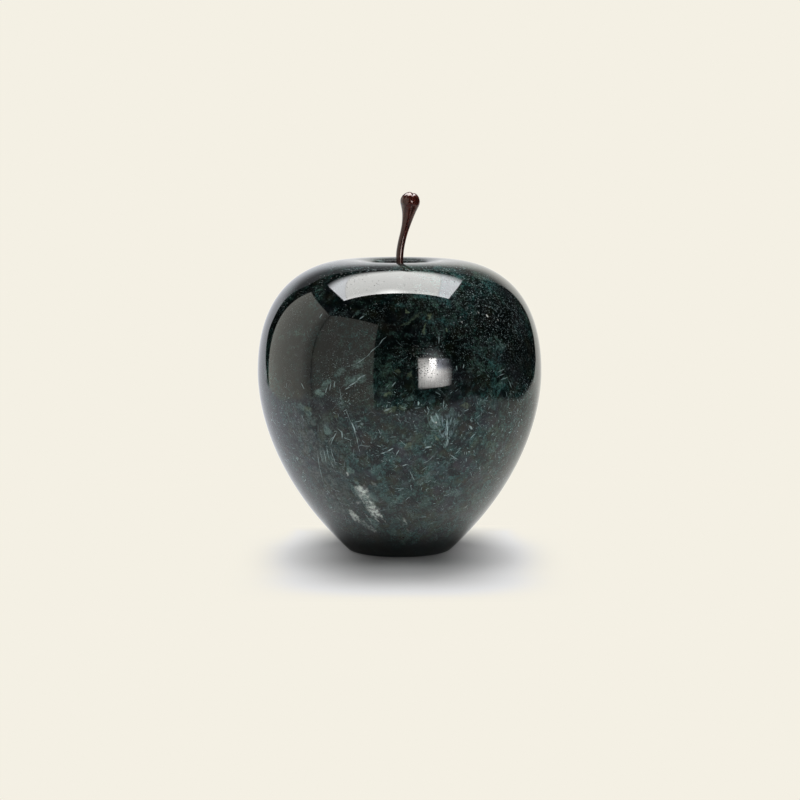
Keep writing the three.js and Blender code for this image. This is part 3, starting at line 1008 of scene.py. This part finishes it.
olive_blobs = [
    (2.1, 70.9, 0.9, 0.6, -40, 0.8), (8.4, 69.5, 1.3, 0.6, 60, 0.85), (6.8, 66.2, 1.8, 0.5, 80, 0.7),
    (12.8, 65.6, 0.6, 0.5, 0, 0.7), (3.4, 68.7, 4.4, 0.5, 28, 0.35), (-22.2, 48.3, 0.9, 0.8, 0, 0.8),
    (10.3, 37.0, 1.5, 0.6, -50, 0.7), (-2.5, 44.6, 2.6, 1.1, 15, 0.6), (0.6, 45.6, 1.4, 0.7, -30, 0.55),
    (2.2, 34.6, 1.3, 0.8, 30, 0.6), (-14.0, 24.6, 0.8, 0.8, 0, 0.6), (17.5, 45.3, 1.6, 0.7, 10, 0.55),
    (-3.0, 48.8, 1.7, 0.8, 30, 0.7), (2.6, 54.0, 1.5, 0.5, 60, 0.5), (-0.5, 55.0, 1.0, 0.7, 0, 0.45),
    (-25.9, 43.9, 1.5, 1.2, 20, 0.7), (-30.0, 37.0, 1.4, 1.0, -30, 0.5), (-17.0, 43.0, 1.2, 0.8, 10, 0.5),
]
olive_amount = lenses(torn_map, olive_blobs)
olive_core = marble.scaled(olive_amount, 0.5, 0.5)
patch_amount = marble.product(olive_amount, olive_core, marble.scaled(grit, 0.70, 0.45))
marble.lay(patch_amount, rgb(0.165, 0.215, 0.130))
teal_amount = lenses(torn_map, teal_patches)
teal_core = marble.scaled(teal_amount, 0.7, 0.3)
patch_amount = marble.product(teal_amount, teal_core, marble.scaled(grit, 0.90, 0.35))
marble.lay(patch_amount, rgb(0.160, 0.270, 0.245))
from_pale = marble.move("SUBTRACT", flat_map, (-26.0, 28.0, 0.0))
from_pale = marble.length(marble.move("MULTIPLY", from_pale, (1 / 15, 1 / 24, 1.0)))
pale_mask = marble.product(marble.fade(from_pale, 1.0, 0.3), marble.scaled(grit, 0.85, 0.25))
pale_amount = marble.product(pale_mask, marble.fade(mottle, 0.42, 0.60), 0.80)
marble.lay(pale_amount, rgb(0.125, 0.150, 0.135))
marble.lay(bright_amount, rgb(0.48, 0.64, 0.64))
print(len(teal_patches), "teal patches and", len(olive_blobs), "olive ones")

# %% Fan of crystals
from_root = marble.move("SUBTRACT", wavy_map, (13.2, 33.4, 0.0))
fan_parts = marble.parts(from_root)
fan_angle = marble.sum("ARCTAN2", fan_parts["X"], fan_parts["Y"])
fan_radius = marble.length(from_root)
fan_place = marble.joined(marble.product(fan_angle, 11.0), marble.product(fan_radius, 0.22))
fan_threads = marble.fade(marble.clouds(fan_place, 0.55, 2.0), 0.42, 0.60)
fan_mask = marble.product(
    marble.fade(fan_radius, 11.5, 6.5), marble.fade(fan_radius, 0.3, 1.6),
    marble.fade(fan_angle, -0.68, -0.30), marble.fade(fan_angle, 0.42, 0.02),
)
fan_gaps = marble.fade(marble.clouds(elsewhere(9, 9, 40), 1.6, 3.0), 0.38, 0.56)
fan_amount = marble.product(fan_threads, fan_mask, marble.scaled(broken, 0.70, 0.30), fan_gaps)
marble.lay(marble.product(fan_amount, 0.85), rgb(0.32, 0.47, 0.50))
print("with marks and fan", len(marble.tree.nodes), "nodes")

# %% [markdown]
# White flecks, calcite and cracks
#
# High on the right are a few tiny white flecks. Low on the front the stone holds ragged white calcite,
# broken by dark cracks. Both are lenses on the same map, and the calcite's are torn by strong noise.

# %% Flecks, calcite and cracks
white_flecks = [
    (27.2, 68.9, 0.62, 0.34, -55, 1.0), (24.4, 69.9, 0.36, 0.3, 0, 0.3), (30.8, 67.6, 0.34, 0.3, 80, 0.35),
    (17.9, 67.7, 0.32, 0.28, 0, 0.3), (17.9, 69.0, 0.3, 0.26, 0, 0.2), (9.6, 41.1, 0.3, 0.28, 0, 0.8),
]
marble.lay(lenses(wavy_map, white_flecks), rgb(0.80, 0.84, 0.80))

calcite_lenses = [
    (-12.3, 20.6, 3.6, 2.8, -20, 1.0), (-11.0, 17.4, 3.2, 1.9, -60, 0.98),
    (-8.0, 14.4, 3.0, 0.8, -50, 0.95), (-9.9, 15.2, 3.9, 2.6, -42, 1.0), (-13.6, 18.6, 2.2, 0.5, -60, 0.7),
    (-9.4, 19.2, 1.7, 0.5, -70, 0.65), (-9.6, 12.4, 2.2, 0.5, -45, 0.85),
    (-12.8, 12.6, 2.2, 0.5, -60, 0.75), (-6.8, 12.4, 1.8, 0.4, -40, 0.7),
    (-18.8, 13.2, 3.3, 1.8, -52, 0.92), (-15.6, 10.9, 3.6, 1.4, -35, 0.62),
    (-12.5, 9.6, 3.0, 1.0, -20, 0.58), (-16.4, 26.0, 0.8, 1.1, 0, 0.75), (-15.2, 17.6, 1.3, 0.8, 30, 0.6),
    (2.2, 12.2, 1.9, 0.6, -48, 0.65), (3.9, 9.4, 1.6, 0.5, -50, 0.45), (-8.2, 23.6, 1.1, 0.7, 20, 0.45),
    (28.0, 15.4, 0.9, 0.6, 30, 0.55),
]
calcite_grain = marble.fade(marble.clouds(marble.drift(place, 1.2, 1.6), 1.0, 4.0, 0.65), 0.38, 0.64)
calcite_core = lenses(torn_map, calcite_lenses)
calcite_amount = marble.product(calcite_core, calcite_core, marble.scaled(calcite_grain, 0.92, 0.12))
marble.lay(calcite_amount, rgb(0.84, 0.92, 0.85))

dark_cracks = [
    (-13.2, 42.0, 1.6, 0.16, -69, 0.8), (-11.2, 37.6, 2.0, 0.18, -74, 0.9),
    (-13.5, 16.4, 2.4, 0.22, -50, 0.8), (-11.6, 17.6, 1.6, 0.18, -15, 0.7),
    (-28.5, 16.5, 2.2, 0.18, -40, 0.8), (30.5, 14.5, 2.4, 0.16, -70, 0.8), (13.3, 35.2, 0.9, 0.16, 88, 0.8),
]
marble.lay(lenses(wavy_map, dark_cracks), black_green)
# Painted shade: the stone is laid over with near black towards the foot, where it meets the table.
marble.lay(marble.product(marble.fade(height, 9.0, 3.0), 0.85), black_green)
# Painted highlight: a pale patch on the far lip of the dimple, left of the stalk.
from_dimple_highlight = marble.move("SUBTRACT", place, (-5.3, 6.5, 81.6))
from_dimple_highlight = marble.length(marble.move("DIVIDE", from_dimple_highlight, (1.4, 1.2, 0.8)))
marble.lay(marble.fade(from_dimple_highlight, 1.0, 0.4), rgb(0.16, 0.20, 0.19))
print("flecks, calcite and cracks added")

# %% [markdown]
# Polish
#
# The finish is a mirror polish with small faults: pin holes where a grain fell out, and calcite that
# polishes a little duller than the dark stone. Pin holes are rough inside, and their colour is darkened
# as painted shade in the hole, so they show as dark dots only where a bright light is reflected.

# %% Polish and pin holes
def pits(spacing, share, radius):
    """Scattered pin holes, as an amount from 0 to 1; the share says how many points have one."""
    middle, lot = marble.nearest(place, spacing)
    off = marble.length(in_skin(marble.move("SUBTRACT", place, middle)))
    picked = marble.sum("GREATER_THAN", marble.along(lot, (0, 0, 1)), marble.rest_of(share))
    return marble.product(marble.fade(off, radius, 0.4 * radius), picked)


pit_patch = marble.fade(marble.clouds(elsewhere(40, 8, 8), 7.0, 1.0), 0.40, 0.60)
pit_share = marble.scaled(pit_patch, 0.06, 0.015)
pitted_spots = [
    ((6.0, -39.1, 57.9), 6.0, 3.0, 0.75),
    ((14.3, -22.3, 79.1), 5.0, 2.0, 0.50),
    ((-13.5, -21.6, 79.4), 7.0, 3.0, 0.16),
]
fine_pit_share = marble.strongest(*[
    marble.product(marble.fade(marble.distance(place, spot), outer, inner), share)
    for spot, outer, inner, share in pitted_spots
])
pit_amount = marble.strongest(pits(0.95, pit_share, 0.13), pits(0.66, fine_pit_share, 0.14))
# Painted shade: near black laid in the pin holes stands for the shade inside them.
marble.lay(marble.product(pit_amount, 0.6), black_green)
roughness = marble.scaled(marble.clouds(place, 6.0, 3.0), 0.03, 0.025)
roughness = marble.sum("ADD", roughness, marble.product(calcite_amount, 0.10))
roughness = marble.sum("ADD", roughness, marble.product(pit_amount, 0.55))

marble.set("Base Color", marble.colour)
marble.set("Roughness", roughness)
marble.set("IOR", 1.52)
marble.bump(marble.product(pit_amount, -1.0), 0.8, 0.06 * MM)
stone.data.materials.append(marble.material)
print("stone recipe uses", len(marble.tree.nodes), "nodes")

# %% [markdown]
# The stalk
#
# The stalk is cast and lacquered: a straight peg in the hole, a slender shank that leans to one side in
# a slow S, and a knobbly head. It is made the way the measured model makes it: turned straight, given
# its lobes, ridges, small dents and a groove over the top, and then bent along its centre line. Bending
# last keeps every section round.

# %% The stalk's centre line
peg_depth = 12.0 * MM
stalk_straight = 9.3 * MM
bend_lean = 3.12 * MM
bend_rise = 18.9 * MM
bend_pull_aside = 0.855
bend_pull_low = 0.306
bend_pull_high = 0.51
bend_steps = 400
peg_end = stalk_low.z
bend_start = peg_end + peg_depth + stalk_straight


def bend_point(share):
    """Where the bent part of the centre line is, from 0 at its start to 1 at the top."""
    s = 1 - share
    low = 3 * s * s * share
    high = 3 * s * share ** 2
    across = (high * bend_pull_aside + share ** 3) * bend_lean
    up = (low * bend_pull_low + high * bend_pull_high + share ** 3) * bend_rise
    return Vector((across, 0, bend_start + up))


bend_table = [bend_point(number / bend_steps) for number in range(bend_steps + 1)]
bend_lengths = [0.0]
for here, ahead in zip(bend_table, bend_table[1:]):
    bend_lengths.append(bend_lengths[-1] + (ahead - here).length)
stalk_length = bend_start - peg_end + bend_lengths[-1]


def centre_line(distance):
    """The centre line's place and direction at a distance from the peg's end."""
    past = distance - (bend_start - peg_end)
    if past <= 0:
        return Vector((0, 0, peg_end + distance)), Vector((0, 0, 1))
    number = 0
    while number < bend_steps - 1 and bend_lengths[number + 1] < past:
        number += 1
    here = bend_table[number]
    ahead = bend_table[number + 1]
    share = (past - bend_lengths[number]) / (bend_lengths[number + 1] - bend_lengths[number])
    return here.lerp(ahead, min(share, 1.0)), (ahead - here).normalized()


print("stalk length", round(stalk_length / MM, 1), "mm")

# %% The stalk's outline
peg_radius = 1.5 * MM
peg_chamfer = 0.3 * MM
peg_show = 2.0 * MM
shank_radius = 1.05 * MM
shank_taper = 4.5 * MM
swell_length = 10.2 * MM
swell_hold_low = 0.67
swell_hold_high = 0.13
head_radius = 2.78 * MM
head_dome = 2.7 * MM
dome_steps = 20
stalk_step = 0.3 * MM


def stalk_outline():
    """Radius against distance along the stalk while it is still straight."""
    taper_start = peg_depth + peg_show
    taper_middle = taper_start + shank_taper / 2
    taper_end = taper_start + shank_taper
    head_at = stalk_length - head_dome
    swell_at = head_at - swell_length
    points = [Vector((0, 0)), Vector((peg_radius - peg_chamfer, 0)), Vector((peg_radius, peg_chamfer))]
    points += line(points[-1], Vector((peg_radius, taper_start)), stalk_step * 3)
    points += bezier(
        points[-1], Vector((peg_radius, taper_middle)),
        Vector((shank_radius, taper_middle)), Vector((shank_radius, taper_end)), stalk_step,
    )
    points += line(points[-1], Vector((shank_radius, swell_at)), stalk_step)
    low_pull = Vector((shank_radius, swell_at + swell_hold_low * swell_length))
    high_pull = Vector((head_radius, head_at - swell_hold_high * swell_length))
    points += bezier(points[-1], low_pull, high_pull, Vector((head_radius, head_at)), stalk_step)
    for number in range(1, dome_steps):
        turn = math.pi / 2 * number / dome_steps
        points.append(Vector((head_radius * math.cos(turn), head_at + head_dome * math.sin(turn))))
    points.append(Vector((0, stalk_length)))
    return points


print("shank", round(2 * shank_radius / MM, 2), "mm thick, head", round(2 * head_radius / MM, 2), "mm")


# %% Lobes, ridges, dents and a groove
lobe_height = 0.20 * MM
ridge_height = 0.045 * MM
dent_depth = 0.13 * MM
skin_grain = 0.006 * MM
grains_per_metre = 760
groove_depth = 0.24 * MM


def bump_at(value, middle, width):
    """1 at the middle, falling to 0 over about the width on both sides."""
    return math.exp(-((value - middle) / width) ** 2)


def uneven(turn, from_top):
    """How far lobes and ridges stand off the plain outline at one point."""
    valley = abs(math.sin(3 * turn + 0.35 * math.sin(2 * turn)))
    lobe = lobe_height * (math.sqrt(valley) - 0.75)
    ridge = ridge_height * math.cos(5 * turn + 0.6)
    return lobe * bump_at(from_top, 1.5 * MM, 1.3 * MM) + ridge * bump_at(from_top, 8.0 * MM, 3.2 * MM)


def dented(spot, from_top):
    """How far the small dents of the head and the grain of the skin go at one point."""
    grain = noise.noise(Vector((spot.x, spot.y, spot.z * 0.7)) * grains_per_metre)
    return grain * (skin_grain + dent_depth * bump_at(from_top, 1.6 * MM, 3.2 * MM))


def groove(spot, from_top):
    """How deep the groove over the head is at one point."""
    near_top = max(0.0, 1.0 - from_top / (1.6 * MM))
    return groove_depth * bump_at(spot.x, 0.62 * MM, 0.42 * MM) * near_top


print("lobes stand off by", round(lobe_height / 4 / MM, 2), "mm at most")

# %% Turn and bend the stalk
stalk_sides = 72
stalk = turned("lacquered_stalk", stalk_outline(), stalk_sides)
for vert in stalk.data.vertices:
    spot = vert.co.copy()
    radius = math.hypot(spot.x, spot.y)
    turn = math.atan2(spot.y, spot.x)
    from_top = stalk_length - spot.z
    if radius > 0.1 * MM:
        radius += uneven(turn, from_top) * min(1.0, radius / MM)
    radius += dented(spot, from_top) * min(1.0, radius / MM)
    centre, direction = centre_line(spot.z - groove(spot, from_top))
    sideways = Vector((direction.z, 0, -direction.x))
    vert.co = centre + sideways * (radius * math.cos(turn)) + Vector((0, radius * math.sin(turn), 0))
stalk.data.update()
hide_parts("stem")
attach(stalk, "root")
print("stalk faces:", len(stalk.data.polygons))

# %% [markdown]
# Brown lacquer
#
# The stalk is sprayed a dark red-brown and then clear coated, so it has two layers: a warm ground with
# faint lengthwise streaks, worn paler in places, and a thin soft coat over its gloss. The gloss carries
# the small sharp highlights and the coat the broad streak of light down the shank.

# %% Lacquer recipe
red_brown_deep = rgb(0.045, 0.0095, 0.0060)
red_brown = rgb(0.090, 0.0185, 0.0115)
red_brown_worn = rgb(0.17, 0.060, 0.040)
warm_gloss = rgb(1.0, 0.80, 0.74)

lacquer = Recipe("brown_lacquer")
on_stalk = lacquer.millimetres()
drawn_out = lacquer.move("MULTIPLY", on_stalk, (1.0, 1.0, 0.12))
streaks = lacquer.fade(lacquer.clouds(drawn_out, 0.7, 4.0, 0.6), 0.35, 0.70)
lacquer.colour = lacquer.tint(streaks, red_brown_deep, red_brown)
worn = lacquer.fade(lacquer.clouds(on_stalk, 1.6, 5.0), 0.62, 0.80)
lacquer.lay(lacquer.product(worn, 0.35), red_brown_worn)
lacquer.set("Base Color", lacquer.colour)
lacquer.set("Roughness", lacquer.scaled(lacquer.clouds(on_stalk, 0.9, 3.0), 0.08, 0.10))
lacquer.set("IOR", 1.52)
lacquer.set("Specular Tint", warm_gloss)
lacquer.set("Coat Weight", 0.32)
lacquer.set("Coat Roughness", 0.20)
lacquer.set("Coat IOR", 1.7)
lacquer.bump(lacquer.clouds(drawn_out, 0.45, 2.0), 0.05, 0.1 * MM)
stalk.data.materials.append(lacquer.material)
print("lacquer on the stalk")

# %% [markdown]
# The glue
#
# Cured adhesive fills the hole round the peg. Only its collar shows, from above: a little ring that
# crept up the stalk and out over the floor of the dimple, with an uneven edge because it flowed there.

# %% Glue collar and cup
glue_film = 0.02 * MM
glue_inner = peg_radius - glue_film
glue_outer = socket_radius - 0.3 * MM
collar_radius = socket_radius + 0.6 * MM
collar_edge = 0.25 * MM
collar_rise = 1.1 * MM
glue_tip = socket_bottom - socket_radius * drill_slope + 0.35 * MM


def glue_outline():
    """The glue's section, from the tip of the drilled hole to the peg's end."""
    foot = Vector((collar_radius, dimple_floor + glue_film))
    edge = Vector((collar_radius, dimple_floor + collar_edge))
    top = Vector((glue_inner, dimple_floor + collar_rise))
    foot_pull = foot + Vector((0.12 * MM, 0.05 * MM))
    edge_pull = edge + Vector((0.05 * MM, 0))
    slope_pull = edge - Vector((0.7 * MM, -0.08 * MM))
    top_pull = top - Vector((-0.1 * MM, 0.6 * MM))
    points = [Vector((0, glue_tip)), Vector((glue_outer, glue_tip + glue_outer * drill_slope))]
    points += line(points[-1], Vector((glue_outer, dimple_floor + glue_film)), 0.8 * MM)
    points += line(points[-1], foot, 0.3 * MM)
    points += bezier(foot, foot_pull, edge_pull, edge, 0.08 * MM)
    points += bezier(edge, slope_pull, top_pull, top, 0.12 * MM)
    points += line(points[-1], Vector((glue_inner, peg_end + glue_film)), 0.8 * MM)
    points.append(Vector((0, peg_end + glue_film)))
    return points


glue_sides = 72
glue = turned("glue_collar", glue_outline(), glue_sides)
for vert in glue.data.vertices:
    radius = math.hypot(vert.co.x, vert.co.y)
    if radius > glue_outer + 0.05 * MM:
        turn = math.atan2(vert.co.y, vert.co.x)
        wave = 0.10 * math.sin(3 * turn + 0.5) + 0.07 * math.sin(5 * turn + 2.0)
        grow = 1 + wave * 0.9 * (radius - glue_outer) / radius
        vert.co.x *= grow
        vert.co.y *= grow
glue.data.update()
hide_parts("stem_adhesive")
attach(glue, "root")
print("glue collar radius", round(collar_radius / MM, 1), "mm")

# %% Resin recipe
resin = Recipe("cured_adhesive")
in_glue = resin.millimetres()
resin_cloud = resin.fade(resin.clouds(in_glue, 1.2, 3.0), 0.35, 0.70)
resin.set("Base Color", resin.tint(resin_cloud, rgb(0.016, 0.013, 0.011), rgb(0.045, 0.034, 0.024)))
resin.set("Roughness", resin.scaled(resin.clouds(in_glue, 0.6, 2.0), 0.2, 0.16))
resin.bump(resin.clouds(in_glue, 0.5, 2.0), 0.3, 0.1 * MM)
glue.data.materials.append(resin.material)
print("resin on the glue")
